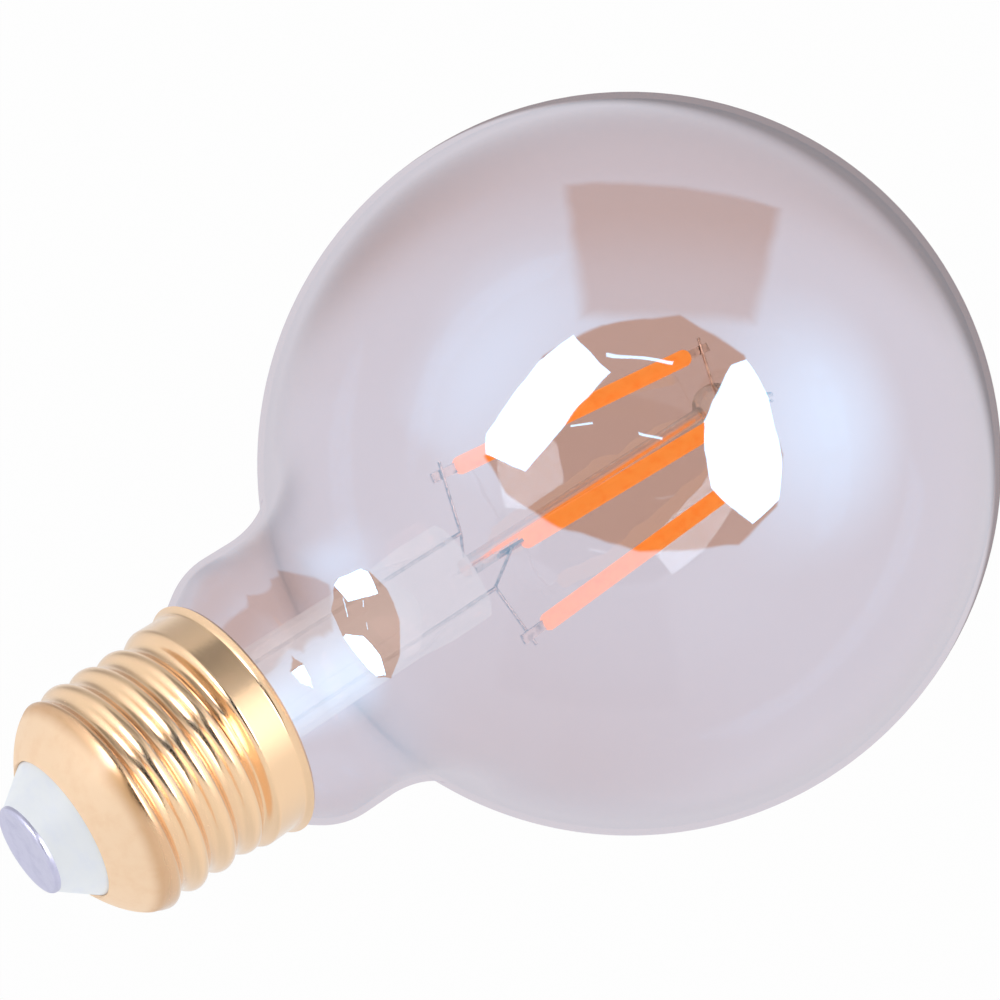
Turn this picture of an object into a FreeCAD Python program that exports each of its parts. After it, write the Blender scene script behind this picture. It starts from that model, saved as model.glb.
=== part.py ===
"""A globe filament bulb with a screw cap, as an assembly of separate pieces.

The axis of the bulb is Z. The origin is the middle of the end contact's outer face, and the
globe hangs below it, as it does in a pendant holder.
"""
import FreeCAD
import Part
import math
import os

Vector = FreeCAD.Vector

# Whole bulb, in millimetres
OVERALL_LENGTH = 139.0
CAP_LENGTH = 27.0

# Blown glass
GLOBE_DIAMETER = 95.0
GLASS_WALL = 0.8
NECK_ROOT_DIAMETER = 34.8
NECK_END_DIAMETER = 34.2
NECK_FILLET = 16.0
SHOULDER_DROP = 5.0
SHOULDER_FILLET = 7.0
SEAL_DIAMETER = 21.6
SEAL_DEPTH = 4.2

# Glass stem: flare, tube and flat pinch
STEM_DIAMETER = 12.0
STEM_WALL = 1.0
FLARE_HEIGHT = 10.0
STEM_HEIGHT = 28.4
PINCH_TAPER = 5.0
PINCH_LENGTH = 6.5
PINCH_WIDTH = 13.0
PINCH_THICKNESS = 4.6
PINCH_ROUNDING = 0.7
BORE_TAPER = 2.6
BLOW_HOLE_DIAMETER = 1.3

# Exhaust tube and centre rod
EXHAUST_DIAMETER = 4.0
EXHAUST_WALL = 0.8
EXHAUST_TIP_GAP = 1.2
ROD_DIAMETER = 2.6
BUTTON_DIAMETER = 6.4
BUTTON_HEIGHT = 5.0

# Wires
LEAD_SPACING = 7.8
LEAD_DIAMETER = 0.5
FEED_DIAMETER = 0.4
BRIDGE_DIAMETER = 0.4
WIRE_BEND = 1.0
WIRE_OVERRUN = 1.6
WELD_CLEARANCE = 0.02
FEED_DROP = 2.2
BRIDGE_SPREAD = 1.2

# Filaments: coated rods with flat metal tabs, converging towards the crown
FILAMENT_COUNT = 4
FILAMENT_DIAMETER = 2.3
FILAMENT_LENGTH = 40.5
FILAMENT_END_FILLET = 0.95
FILAMENT_ANGLE = -6.0
FILAMENT_TURNS = (0.0, 5.5, 0.0, 0.0)
FILAMENT_DROP = 5.8
FILAMENT_SHIFTS = (0.0, -1.5, 0.0, 2.0)
BASE_RING_RADII = (11.2, 8.3, 11.2, 8.3)
CROWN_RING_RADIUS = 9.0
CROWN_OFFSET = 1.2
TAB_LENGTH = 3.6
TAB_GRIP = 1.2
TAB_WIDTH = 1.2
TAB_THICKNESS = 0.4
WELD_REACH = 2.2

# Screw shell, rolled from thin sheet
SHELL_WALL = 0.3
RIM_DIAMETER = 28.9
LIP_HEIGHT = 0.9
COLLAR_DIAMETER = 27.2
COLLAR_LENGTH = 4.3
THREAD_CREST_DIAMETER = 26.2
THREAD_ROOT_DIAMETER = 24.1
THREAD_PITCH = 3.629
THREAD_PHASE = -0.55
THREAD_RUN_IN = 1.2
THREAD_RUN_OUT = 1.8
END_CURVE_DIAMETER = 25.8
END_CURVE_DEPTH = 9.0
END_CURVE_BULGE = 0.76
SHELL_END_DIAMETER = 16.6
SHELL_END_DEPTH = 4.5
THREAD_STEPS_PER_PITCH = 12
LIP_STEPS = 5
COLLAR_STEPS = 4
END_CURVE_STEPS = 7
SHELL_SIDES = 24

# Insulator, contact and cement
CONTACT_DIAMETER = 10.5
CONTACT_HEIGHT = 0.6
CONTACT_FILLET = 0.4
INSULATOR_FLOOR = 8.0
INSULATOR_HOLE = 1.6
INSULATOR_SEAT_STEPS = 3
SEAT_CLEARANCE = 0.05
CEMENT_BOTTOM = 1.3
CEMENT_TOP = 3.7

# Driver in the cap
BOARD_DIAMETER = 19.6
BOARD_THICKNESS = 1.2
BOARD_DEPTH = 15.8
LEAD_STICK_OUT = 0.9
CAPACITOR_DIAMETER = 6.3
CAPACITOR_HEIGHT = 6.6
CAPACITOR_FOOT = 1.3
CAPACITOR_GROOVE = 0.3
CAPACITOR_PLACE = (3.2, 4.4)
RECTIFIER_SIZE = (4.7, 3.9, 2.3)
RECTIFIER_PLACE = (-4.2, -5.2)
CHIP_SIZE = (4.9, 3.8, 1.5)
CHIP_PLACE = (-3.8, 4.0)
CHIP_CHAMFER = 0.3
RESISTOR_DIAMETER = 2.4
RESISTOR_WAIST_DIAMETER = 2.0
RESISTOR_LENGTH = 4.6
RESISTOR_CAP = 0.9
RESISTOR_PLACE = (2.6, -5.0)
RESISTOR_LIFT = 0.8
DRIVER_WIRE_DIAMETER = 0.6
NEUTRAL_ANGLE = 200.0
NEUTRAL_START_RADIUS = 8.2
NEUTRAL_RISE = 1.6

# Heights that follow from the sizes above
RIM_Z = -CAP_LENGTH
GLOBE_RADIUS = GLOBE_DIAMETER / 2
GLOBE_Z = GLOBE_RADIUS - OVERALL_LENGTH
SEAL_RADIUS = SEAL_DIAMETER / 2
SEAL_Z = RIM_Z + SEAL_DEPTH
STEM_RADIUS = STEM_DIAMETER / 2
BORE_RADIUS = STEM_RADIUS - STEM_WALL
TUBE_END_Z = SEAL_Z - STEM_HEIGHT
PINCH_TOP_Z = TUBE_END_Z - PINCH_TAPER
PINCH_END_Z = PINCH_TOP_Z - PINCH_LENGTH
BORE_END_Z = TUBE_END_Z - BORE_TAPER
BOARD_TOP_Z = -BOARD_DEPTH
BOARD_BOTTOM_Z = BOARD_TOP_Z - BOARD_THICKNESS
FEED_Z = PINCH_END_Z - FEED_DROP
CAGE_Z = PINCH_END_Z - FILAMENT_DROP
BUTTON_Z = CAGE_Z - FILAMENT_LENGTH
SHELL_SHOULDER_Z = -END_CURVE_DEPTH
SHELL_END_Z = -SHELL_END_DEPTH

# Distance below which two places count as the same
NEAR = 1e-3

# Largest share of the neck's wall that its fillet takes
FILLET_SHARE = 0.9


def point(radius, z, angle=0.0):
    """Return the point at a radius, height and angle in degrees."""
    turn = math.radians(angle)
    return Vector(radius * math.cos(turn), radius * math.sin(turn), z)


def line(start, end):
    """Return a straight edge."""
    return Part.LineSegment(start, end).toShape()


def curve(*poles):
    """Return a Bezier edge with the given poles."""
    bezier = Part.BezierCurve()
    bezier.setPoles(list(poles))
    return bezier.toShape()


def revolved(edges):
    """Return the solid swept by a closed outline of edges around Z."""
    face = Part.Face(Part.Wire(Part.__sortEdges__(edges)))
    return face.revolve(Vector(0, 0, 0), Vector(0, 0, 1), 360)


def revolved_polygon(corners):
    """Return the solid swept around Z by a polygon of (radius, height) corners."""
    points = [point(radius, z) for radius, z in corners]
    return revolved([line(a, b) for a, b in zip(points, points[1:] + points[:1])])


def ring_edges(solid, radius, z):
    """Return the edges of a solid that are circles about Z at one radius and height."""
    found = []
    for edge in solid.Edges:
        box = edge.BoundBox
        level = max(abs(box.ZMin - z), abs(box.ZMax - z))
        if level < NEAR and abs(box.XMax - radius) < NEAR:
            found.append(edge)
    return found


def rod_between(start, end, diameter):
    """Return a straight round rod."""
    return Part.makeCylinder(diameter / 2, (end - start).Length, start, end - start)


def bend_points(before, corner, after, bend):
    """Return the start, middle and end of the tangent arc that rounds a corner."""
    back = (before - corner).normalize()
    ahead = (after - corner).normalize()
    half = back.getAngle(ahead) / 2
    reach = bend / math.tan(half)
    inward = (back + ahead).normalize()
    middle = corner + inward * (bend / math.sin(half) - bend)
    return corner + back * reach, middle, corner + ahead * reach


def bent_wire(points, diameter, bend):
    """Return a round wire along straight runs joined by tangent arcs."""
    edges = []
    start = points[0]
    for corner in zip(points, points[1:], points[2:]):
        arc = bend_points(*corner, bend)
        edges.append(line(start, arc[0]))
        edges.append(Part.Arc(*arc).toShape())
        start = arc[-1]
    edges.append(line(start, points[-1]))
    section = Part.Wire(Part.makeCircle(diameter / 2, points[0], points[1] - points[0]))
    return Part.Wire(edges).makePipeShell([section], True, True)


def neck_arc(root, wall_end):
    """Return the start, middle and end of the arc that blends the globe into the neck's wall."""
    globe = point(0, GLOBE_Z)
    along = (wall_end - root).normalize()
    outward = Vector(along.z, 0, -along.x)
    last = root + (wall_end - root) * FILLET_SHARE - globe
    widest = (last.dot(last) - GLOBE_RADIUS**2) / 2 / (GLOBE_RADIUS - last.dot(outward))
    fillet = min(NECK_FILLET, widest)
    start = root + outward * fillet - globe
    reach = GLOBE_RADIUS + fillet
    climb = math.sqrt(start.dot(along) ** 2 - start.dot(start) + reach**2) - start.dot(along)
    centre = globe + start + along * climb
    to_globe = (globe - centre).normalize()
    between = (to_globe - outward).normalize()
    return [centre + way * fillet for way in (to_globe, between, outward * -1)]


def glass_body():
    """Return the outer form of the blown glass, filled."""
    neck_root = NECK_ROOT_DIAMETER / 2
    neck_end = NECK_END_DIAMETER / 2
    root_z = GLOBE_Z + math.sqrt(GLOBE_RADIUS**2 - neck_root**2)
    corner_z = RIM_Z - SHOULDER_DROP
    crown = point(0, GLOBE_Z - GLOBE_RADIUS)
    root = point(neck_root, root_z)
    corner = point(neck_end, corner_z)
    seal = point(SEAL_RADIUS, SEAL_Z)
    top = point(0, SEAL_Z)
    wall = corner - root
    turn = wall.getAngle(seal - corner)
    shoulder_fillet = min(SHOULDER_FILLET, wall.Length / 2 / math.tan(turn / 2))
    shoulder = bend_points(root, corner, seal, shoulder_fillet)
    neck = neck_arc(root, shoulder[0])
    edges = [
        Part.Arc(crown, point(GLOBE_RADIUS, GLOBE_Z), neck[0]).toShape(),
        Part.Arc(*neck).toShape(),
        line(neck[-1], shoulder[0]),
        Part.Arc(*shoulder).toShape(),
        line(shoulder[-1], seal),
        line(seal, top),
        line(top, crown),
    ]
    return revolved(edges)


def glass_globe(body):
    """Return the glass wall, open at the seal."""
    opening = [face for face in body.Faces if abs(face.BoundBox.ZMin - SEAL_Z) < NEAR]
    return body.makeThickness(opening, -GLASS_WALL, NEAR / 10)


def stem(lead_wires):
    """Return the flared stem with its flat pinch, sealed on the neck's end."""
    flare_z = SEAL_Z - FLARE_HEIGHT
    shoulder_slope = (NECK_END_DIAMETER / 2 - SEAL_RADIUS) / (SHOULDER_DROP + SEAL_DEPTH)
    inner_seal = SEAL_RADIUS - GLASS_WALL * math.hypot(1, shoulder_slope)
    flange_z = SEAL_Z + STEM_WALL
    edges = [
        line(point(SEAL_RADIUS, SEAL_Z), point(inner_seal, SEAL_Z)),
        curve(point(inner_seal, SEAL_Z), point(STEM_RADIUS, SEAL_Z), point(STEM_RADIUS, flare_z)),
        line(point(STEM_RADIUS, flare_z), point(STEM_RADIUS, TUBE_END_Z)),
        line(point(STEM_RADIUS, TUBE_END_Z), point(BORE_RADIUS, TUBE_END_Z)),
        line(point(BORE_RADIUS, TUBE_END_Z), point(BORE_RADIUS, flare_z)),
        curve(point(BORE_RADIUS, flare_z), point(BORE_RADIUS, flange_z), point(inner_seal, flange_z)),
        line(point(inner_seal, flange_z), point(SEAL_RADIUS, flange_z)),
        line(point(SEAL_RADIUS, flange_z), point(SEAL_RADIUS, SEAL_Z)),
    ]
    flare = revolved(edges)
    tube_end = Part.Wire(Part.makeCircle(STEM_RADIUS, point(0, TUBE_END_Z)))
    flat = Part.Ellipse(point(0, PINCH_TOP_Z), PINCH_WIDTH / 2, PINCH_THICKNESS / 2)
    flat_wire = Part.Wire(flat.toShape())
    taper = Part.makeLoft([tube_end, flat_wire], True)
    pinch = Part.Face(flat_wire).extrude(Vector(0, 0, -PINCH_LENGTH))
    lower_edge = [edge for edge in pinch.Edges if edge.BoundBox.ZMax < PINCH_END_Z + NEAR]
    tightest = PINCH_THICKNESS**2 / PINCH_WIDTH / 2
    pinch = pinch.makeFillet(PINCH_ROUNDING * tightest, lower_edge)
    bore_end = Part.makeCone(EXHAUST_DIAMETER / 2, BORE_RADIUS, BORE_TAPER, point(0, BORE_END_Z))
    hole_radius = BLOW_HOLE_DIAMETER / 2
    hole_z = BORE_END_Z - BLOW_HOLE_DIAMETER
    blow_hole = Part.makeCylinder(hole_radius, BORE_END_Z - hole_z, point(0, hole_z))
    side_hole = Part.makeCylinder(hole_radius, STEM_RADIUS, point(0, hole_z), Vector(0, 1, 0))
    solid = flare.fuse([taper, pinch]).removeSplitter()
    return solid.cut([bore_end, blow_hole, side_hole] + lead_wires)


def exhaust_tube():
    """Return the exhaust tube, standing in the pinch and tipped off under the board."""
    outer = EXHAUST_DIAMETER / 2
    inner = outer - EXHAUST_WALL
    tip_z = BOARD_BOTTOM_Z - EXHAUST_TIP_GAP
    shoulder_z = tip_z - outer
    edges = [
        line(point(inner, BORE_END_Z), point(outer, BORE_END_Z)),
        line(point(outer, BORE_END_Z), point(outer, shoulder_z)),
        curve(point(outer, shoulder_z), point(outer, tip_z), point(0, tip_z)),
        line(point(0, tip_z), point(0, shoulder_z)),
        line(point(0, shoulder_z), point(inner, shoulder_z - inner)),
        line(point(inner, shoulder_z - inner), point(inner, BORE_END_Z)),
    ]
    return revolved(edges)


def centre_rod(bridge_wires):
    """Return the glass rod below the pinch, with the button that holds the bridge wires."""
    radius = ROD_DIAMETER / 2
    belly = BUTTON_DIAMETER / 2
    top_z = BUTTON_Z + BUTTON_HEIGHT / 2
    end_z = BUTTON_Z - BUTTON_HEIGHT / 2
    edges = [
        line(point(0, PINCH_END_Z), point(radius, PINCH_END_Z)),
        line(point(radius, PINCH_END_Z), point(radius, top_z)),
        curve(point(radius, top_z), point(belly, top_z), point(belly, BUTTON_Z)),
        curve(point(belly, BUTTON_Z), point(belly, end_z), point(0, end_z)),
        line(point(0, end_z), point(0, PINCH_END_Z)),
    ]
    return revolved(edges).cut(bridge_wires)


class Filament:
    """One coated filament with a metal tab at each end."""

    def __init__(self, index):
        angle = FILAMENT_ANGLE + 360 / FILAMENT_COUNT * index
        start_z = CAGE_Z + FILAMENT_SHIFTS[index]
        lean = Vector(-CROWN_OFFSET, 0, 0)
        self.start = point(BASE_RING_RADII[index], start_z, angle + FILAMENT_TURNS[index])
        aim = point(CROWN_RING_RADIUS, start_z - FILAMENT_LENGTH, angle) + lean
        self.axis = (aim - self.start).normalize()
        self.end = self.start + self.axis * FILAMENT_LENGTH

    def weld_point(self, at_base):
        """Return the place on one tab where its wire is welded."""
        return self.start - self.axis * WELD_REACH if at_base else self.end + self.axis * WELD_REACH

    def arm(self, vertex, at_base, diameter):
        """Return the far end of a wire that leaves a vertex and lies on a tab, and its tab."""
        weld = self.weld_point(at_base)
        side = self.axis.cross(weld - vertex).normalize()
        stand_off = diameter / 2 + TAB_THICKNESS / 2 + WELD_CLEARANCE
        on_tab = weld + side * stand_off
        run = (on_tab - vertex).normalize()
        side = self.axis.cross(run).normalize()
        return on_tab + run * WIRE_OVERRUN, self.tab(at_base, side)

    def tab(self, at_base, side):
        """Return one metal tab, its flat face turned to the given side."""
        width_way = side.cross(self.axis)
        root = self.start + self.axis * TAB_GRIP if at_base else self.end - self.axis * TAB_GRIP
        outward = self.axis * -1 if at_base else self.axis
        corner = root - width_way * (TAB_WIDTH / 2) - side * (TAB_THICKNESS / 2)
        corners = [corner, corner + width_way * TAB_WIDTH]
        corners += [corners[1] + side * TAB_THICKNESS, corner + side * TAB_THICKNESS]
        blank = Part.Face(Part.makePolygon(corners + corners[:1]))
        return blank.extrude(outward * (TAB_GRIP + TAB_LENGTH))

    def coated_rod(self, tabs):
        """Return the coated rod with a seat for each tab."""
        rod = rod_between(self.start, self.end, FILAMENT_DIAMETER)
        rims = [edge for edge in rod.Edges if isinstance(edge.Curve, Part.Circle)]
        return rod.makeFillet(FILAMENT_END_FILLET, rims).cut(tabs)


def forked_wire(vertex, pair, at_base, diameter):
    """Return a wire bent at a vertex that joins two filaments, its two tabs and its bend's middle."""
    ends = [filament.arm(vertex, at_base, diameter) for filament in pair]
    route = [ends[0][0], vertex, ends[1][0]]
    middle = bend_points(*route, WIRE_BEND)[1]
    return bent_wire(route, diameter, WIRE_BEND), [tab for _, tab in ends], middle


def lead_wire(foot, feed_wire):
    """Return a straight lead-in wire from a feed wire's bend up through the driver board."""
    top = Vector(foot.x, foot.y, BOARD_TOP_Z + LEAD_STICK_OUT)
    bottom = foot + Vector(0, 0, FEED_DIAMETER / 4)
    return rod_between(bottom, top, LEAD_DIAMETER).cut(feed_wire)


def light_source():
    """Return the filaments, tabs and wires of the cage by name, with its two wire groups."""
    filaments = [Filament(index) for index in range(FILAMENT_COUNT)]
    half = LEAD_SPACING / 2
    bridge_angle = FILAMENT_ANGLE - 180 / FILAMENT_COUNT
    tabs = {}
    nodes = {}
    leads = []
    bridges = []
    for letter, x, pair in (("a", -half, (2, 3)), ("b", half, (0, 1))):
        vertex = Vector(x, 0, FEED_Z)
        feed, pair_tabs, foot = forked_wire(vertex, [filaments[i] for i in pair], True, FEED_DIAMETER)
        tabs.update({(i, "base"): tab for i, tab in zip(pair, pair_tabs)})
        nodes["feed_wire_" + letter] = feed
        leads.append(lead_wire(foot, feed))
        nodes["lead_wire_" + letter] = leads[-1]
    for letter, angle, pair in (("a", bridge_angle, (0, 3)), ("b", bridge_angle + 180, (2, 1))):
        vertex = point(BRIDGE_SPREAD, BUTTON_Z, angle)
        bridge, pair_tabs, _ = forked_wire(vertex, [filaments[i] for i in pair], False, BRIDGE_DIAMETER)
        tabs.update({(i, "crown"): tab for i, tab in zip(pair, pair_tabs)})
        bridges.append(bridge)
        nodes["bridge_wire_" + letter] = bridge
    for index, filament in enumerate(filaments):
        ends = [tabs[index, "base"], tabs[index, "crown"]]
        nodes[f"filament_{index + 1}"] = filament.coated_rod(ends)
        nodes[f"filament_{index + 1}_base_tab"] = ends[0]
        nodes[f"filament_{index + 1}_crown_tab"] = ends[1]
    return nodes, leads, bridges


def smooth_step(value):
    """Return a value eased from 0 to 1."""
    bounded = min(max(value, 0.0), 1.0)
    return bounded * bounded * (3 - 2 * bounded)


def thread_radius(z, angle):
    """Return the radius of a round thread of two equal arcs, right-handed about Z."""
    crest = THREAD_CREST_DIAMETER / 2
    root = THREAD_ROOT_DIAMETER / 2
    depth = crest - root
    arc = (THREAD_PITCH**2 / 16 + depth**2 / 4) / depth
    turn = (z - THREAD_PHASE) / THREAD_PITCH - angle / 360
    offset = abs(turn - round(turn)) * THREAD_PITCH
    if offset < THREAD_PITCH / 4:
        return crest - arc + math.sqrt(arc**2 - offset**2)
    return root + arc - math.sqrt(arc**2 - (THREAD_PITCH / 2 - offset) ** 2)


def shell_radius(z, angle):
    """Return the outer radius of the screw shell at a height and angle."""
    collar = COLLAR_DIAMETER / 2
    shoulder = END_CURVE_DIAMETER / 2
    thread_z = RIM_Z + COLLAR_LENGTH
    if z <= thread_z:
        flare = max(1 - (z - RIM_Z) / LIP_HEIGHT, 0.0)
        return collar + (RIM_DIAMETER / 2 - collar) * flare**2
    share = (z - SHELL_SHOULDER_Z) / (SHELL_END_Z - SHELL_SHOULDER_Z)
    if share > 0:
        end = SHELL_END_DIAMETER / 2
        plain = shoulder + (end - shoulder) * share + 4 * END_CURVE_BULGE * share * (1 - share)
    else:
        plain = collar + (shoulder - collar) * (z - thread_z) / (SHELL_SHOULDER_Z - thread_z)
    run_in = smooth_step((z - thread_z) / THREAD_RUN_IN)
    run_out = smooth_step((SHELL_SHOULDER_Z - z) / THREAD_RUN_OUT + 0.5)
    depth = run_in * run_out
    return plain * (1 - depth) + thread_radius(z, angle) * depth


def shell_point(z, angle, inset):
    """Return a point of the shell's wall, a distance inside its outer face."""
    slope = (shell_radius(z + NEAR, angle) - shell_radius(z - NEAR, angle)) / (2 * NEAR)
    length = math.hypot(1, slope)
    return point(shell_radius(z, angle) - inset / length, z + inset * slope / length, angle)


def shell_heights():
    """Return the heights at which the shell's wall is drawn, closer where it curves."""
    thread_z = RIM_Z + COLLAR_LENGTH
    lip_z = RIM_Z + LIP_HEIGHT
    run_out_z = SHELL_SHOULDER_Z + THREAD_RUN_OUT / 2
    thread_steps = math.ceil((run_out_z - thread_z) / THREAD_PITCH * THREAD_STEPS_PER_PITCH)
    zones = (
        (RIM_Z, lip_z, LIP_STEPS),
        (lip_z, thread_z, COLLAR_STEPS),
        (thread_z, run_out_z, thread_steps),
        (run_out_z, SHELL_END_Z, END_CURVE_STEPS),
    )
    heights = []
    for low, high, count in zones:
        heights += [low + (high - low) * i / count for i in range(count)]
    return heights + [SHELL_END_Z]


def shell_loop(z, inset):
    """Return the closed curve of the shell's wall at one height, a distance inside its outer face."""
    loop = Part.BSplineCurve()
    points = [shell_point(z, 360 * side / SHELL_SIDES, inset) for side in range(SHELL_SIDES)]
    loop.interpolate(points, PeriodicFlag=True)
    return loop.toShape()


def screw_shell():
    """Return the rolled shell: lip, collar, round thread and curved end in one thin wall."""
    heights = shell_heights()
    loops = [shell_loop(z, 0.0) for z in heights]
    loops += [shell_loop(z, SHELL_WALL) for z in reversed(heights)]
    bands = [Part.makeRuledSurface(a, b) for a, b in zip(loops, loops[1:] + loops[:1])]
    wall = Part.makeShell(bands)
    wall.sewShape(NEAR)
    solid = Part.makeSolid(wall)
    if solid.Volume < 0:
        solid.reverse()
    return solid


def insulator():
    """Return the white insulator moulded under the shell's end, its lip flush with the shell."""
    inset = SHELL_WALL + SEAT_CLEARANCE
    step = (INSULATOR_FLOOR - SHELL_END_DEPTH) / INSULATOR_SEAT_STEPS
    seat = [shell_point(SHELL_END_Z - i * step, 0, inset) for i in range(INSULATOR_SEAT_STEPS + 1)]
    edge = shell_point(SHELL_END_Z, 0, 0)
    clear = (edge - shell_point(SHELL_END_Z - NEAR, 0, 0)).normalize() * SEAT_CLEARANCE
    lip = edge + clear
    seat[0] += clear
    hole = INSULATOR_HOLE / 2
    top_z = -CONTACT_HEIGHT
    seat_curve = Part.BSplineCurve()
    seat_curve.interpolate(seat)
    top_inner = point(hole, top_z)
    top_outer = point(CONTACT_DIAMETER / 2, top_z)
    floor_inner = point(hole, seat[-1].z)
    edges = [
        line(top_inner, top_outer),
        line(top_outer, lip),
        line(lip, seat[0]),
        seat_curve.toShape(),
        line(seat[-1], floor_inner),
        line(floor_inner, top_inner),
    ]
    return revolved(edges)


def centre_contact():
    """Return the end contact, a flat disc with a rounded edge."""
    disc = Part.makeCylinder(CONTACT_DIAMETER / 2, CONTACT_HEIGHT, point(0, -CONTACT_HEIGHT))
    return disc.makeFillet(CONTACT_FILLET, ring_edges(disc, CONTACT_DIAMETER / 2, 0))


def cement(body):
    """Return the ring of capping cement between the collar and the glass."""
    radius = COLLAR_DIAMETER / 2 - SHELL_WALL - SEAT_CLEARANCE
    return Part.makeCylinder(radius, CEMENT_TOP - CEMENT_BOTTOM, point(0, RIM_Z + CEMENT_BOTTOM)).cut(body)


def driver_board(lead_wires):
    """Return the round board, with a hole for each lead-in wire."""
    disc = Part.makeCylinder(BOARD_DIAMETER / 2, BOARD_THICKNESS, point(0, BOARD_BOTTOM_Z))
    return disc.cut(lead_wires)


def package(size, place):
    """Return a moulded package on the board with its upper edges chamfered."""
    width, depth, height = size
    corner = Vector(place[0] - width / 2, place[1] - depth / 2, BOARD_TOP_Z)
    block = Part.makeBox(width, depth, height, corner)
    upper = [edge for edge in block.Edges if edge.BoundBox.ZMin > BOARD_TOP_Z + height - NEAR]
    return block.makeChamfer(CHIP_CHAMFER, upper)


def capacitor():
    """Return the round capacitor with the rolled groove above its foot."""
    radius = CAPACITOR_DIAMETER / 2
    groove_z = CAPACITOR_FOOT
    waist = radius - CAPACITOR_GROOVE
    corners = [(0, 0), (radius, 0), (radius, groove_z), (waist, groove_z + CAPACITOR_GROOVE)]
    corners += [(radius, groove_z + 2 * CAPACITOR_GROOVE), (radius, CAPACITOR_HEIGHT - CAPACITOR_GROOVE)]
    corners += [(waist, CAPACITOR_HEIGHT), (0, CAPACITOR_HEIGHT)]
    can = revolved_polygon(corners)
    can.translate(Vector(*CAPACITOR_PLACE, BOARD_TOP_Z))
    return can


def fuse_resistor():
    """Return the upright fusible resistor on its lower leg."""
    body_z = RESISTOR_LIFT
    top_z = RESISTOR_LIFT + RESISTOR_LENGTH
    leg = DRIVER_WIRE_DIAMETER / 2
    radius = RESISTOR_DIAMETER / 2
    waist = RESISTOR_WAIST_DIAMETER / 2
    lower_cap_z = body_z + RESISTOR_CAP
    upper_cap_z = top_z - RESISTOR_CAP
    corners = [(0, 0), (leg, 0), (leg, body_z), (radius, body_z), (radius, lower_cap_z), (waist, lower_cap_z)]
    corners += [(waist, upper_cap_z), (radius, upper_cap_z), (radius, top_z), (0, top_z)]
    resistor = revolved_polygon(corners)
    resistor.translate(Vector(*RESISTOR_PLACE, BOARD_TOP_Z))
    return resistor


def live_wire():
    """Return the wire from the fusible resistor through the insulator to the contact."""
    start = Vector(*RESISTOR_PLACE, BOARD_TOP_Z + RESISTOR_LIFT + RESISTOR_LENGTH)
    turn_z = (start.z - INSULATOR_FLOOR) / 2
    route = [start, Vector(start.x, start.y, turn_z), point(0, turn_z), point(0, -CONTACT_HEIGHT)]
    return bent_wire(route, DRIVER_WIRE_DIAMETER, WIRE_BEND)


def neutral_wire():
    """Return the wire from the board's edge to the inside of the screw shell."""
    rise_z = BOARD_TOP_Z + NEUTRAL_RISE
    wall = min(
        math.hypot(*shell_point(rise_z + lift, NEUTRAL_ANGLE, SHELL_WALL)[:2])
        for lift in (-DRIVER_WIRE_DIAMETER, 0, DRIVER_WIRE_DIAMETER)
    )
    route = [
        point(NEUTRAL_START_RADIUS, BOARD_TOP_Z, NEUTRAL_ANGLE),
        point(NEUTRAL_START_RADIUS, rise_z, NEUTRAL_ANGLE),
        point(wall - SEAT_CLEARANCE, rise_z, NEUTRAL_ANGLE),
    ]
    return bent_wire(route, DRIVER_WIRE_DIAMETER, DRIVER_WIRE_DIAMETER)


def build():
    """Return every node of the bulb by name."""
    body = glass_body()
    nodes, leads, bridges = light_source()
    nodes["glass_globe"] = glass_globe(body)
    nodes["stem"] = stem(leads)
    nodes["exhaust_tube"] = exhaust_tube()
    nodes["centre_rod"] = centre_rod(bridges)
    nodes["screw_shell"] = screw_shell()
    nodes["insulator"] = insulator()
    nodes["centre_contact"] = centre_contact()
    nodes["cement"] = cement(body)
    nodes["driver_board"] = driver_board(leads)
    nodes["rectifier"] = package(RECTIFIER_SIZE, RECTIFIER_PLACE)
    nodes["driver_chip"] = package(CHIP_SIZE, CHIP_PLACE)
    nodes["capacitor"] = capacitor()
    nodes["fuse_resistor"] = fuse_resistor()
    nodes["live_wire"] = live_wire()
    nodes["neutral_wire"] = neutral_wire()
    return nodes


def main():
    """Write one STEP file for each node."""
    os.makedirs("parts", exist_ok=True)
    for name, shape in build().items():
        shape.exportStep(os.path.join("parts", name + ".step"))


if __name__ == "__main__":
    main()
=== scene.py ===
"""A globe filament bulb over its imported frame: coated glass, filament cage and gold screw cap."""
import logging
import math
from dataclasses import dataclass
from enum import Enum
from functools import reduce
from typing import Any, Optional, Sequence, Union

import bmesh
import bpy
from mathutils import Matrix, Vector


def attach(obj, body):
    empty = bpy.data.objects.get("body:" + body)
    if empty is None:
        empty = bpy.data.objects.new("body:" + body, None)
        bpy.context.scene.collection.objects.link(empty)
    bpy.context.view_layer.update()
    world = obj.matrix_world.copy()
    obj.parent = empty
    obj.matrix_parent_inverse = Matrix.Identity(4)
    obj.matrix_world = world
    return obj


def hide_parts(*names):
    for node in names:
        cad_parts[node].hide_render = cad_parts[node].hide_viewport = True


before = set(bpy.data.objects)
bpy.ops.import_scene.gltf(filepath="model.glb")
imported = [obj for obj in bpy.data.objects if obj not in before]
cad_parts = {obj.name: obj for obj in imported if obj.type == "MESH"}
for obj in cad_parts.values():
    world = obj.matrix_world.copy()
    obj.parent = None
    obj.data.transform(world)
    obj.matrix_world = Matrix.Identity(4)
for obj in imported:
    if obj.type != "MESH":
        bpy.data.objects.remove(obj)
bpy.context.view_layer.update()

MM = 0.001
BODY = "root"
LOG = logging.getLogger("globe_bulb")
FILLET_ROWS = 8
MERGE_DISTANCE = 1e-6
WHITE = (1.0, 1.0, 1.0, 1.0)

Colour = tuple[float, float, float]
Triple = tuple[float, float, float]
Point = tuple[float, float]


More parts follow.
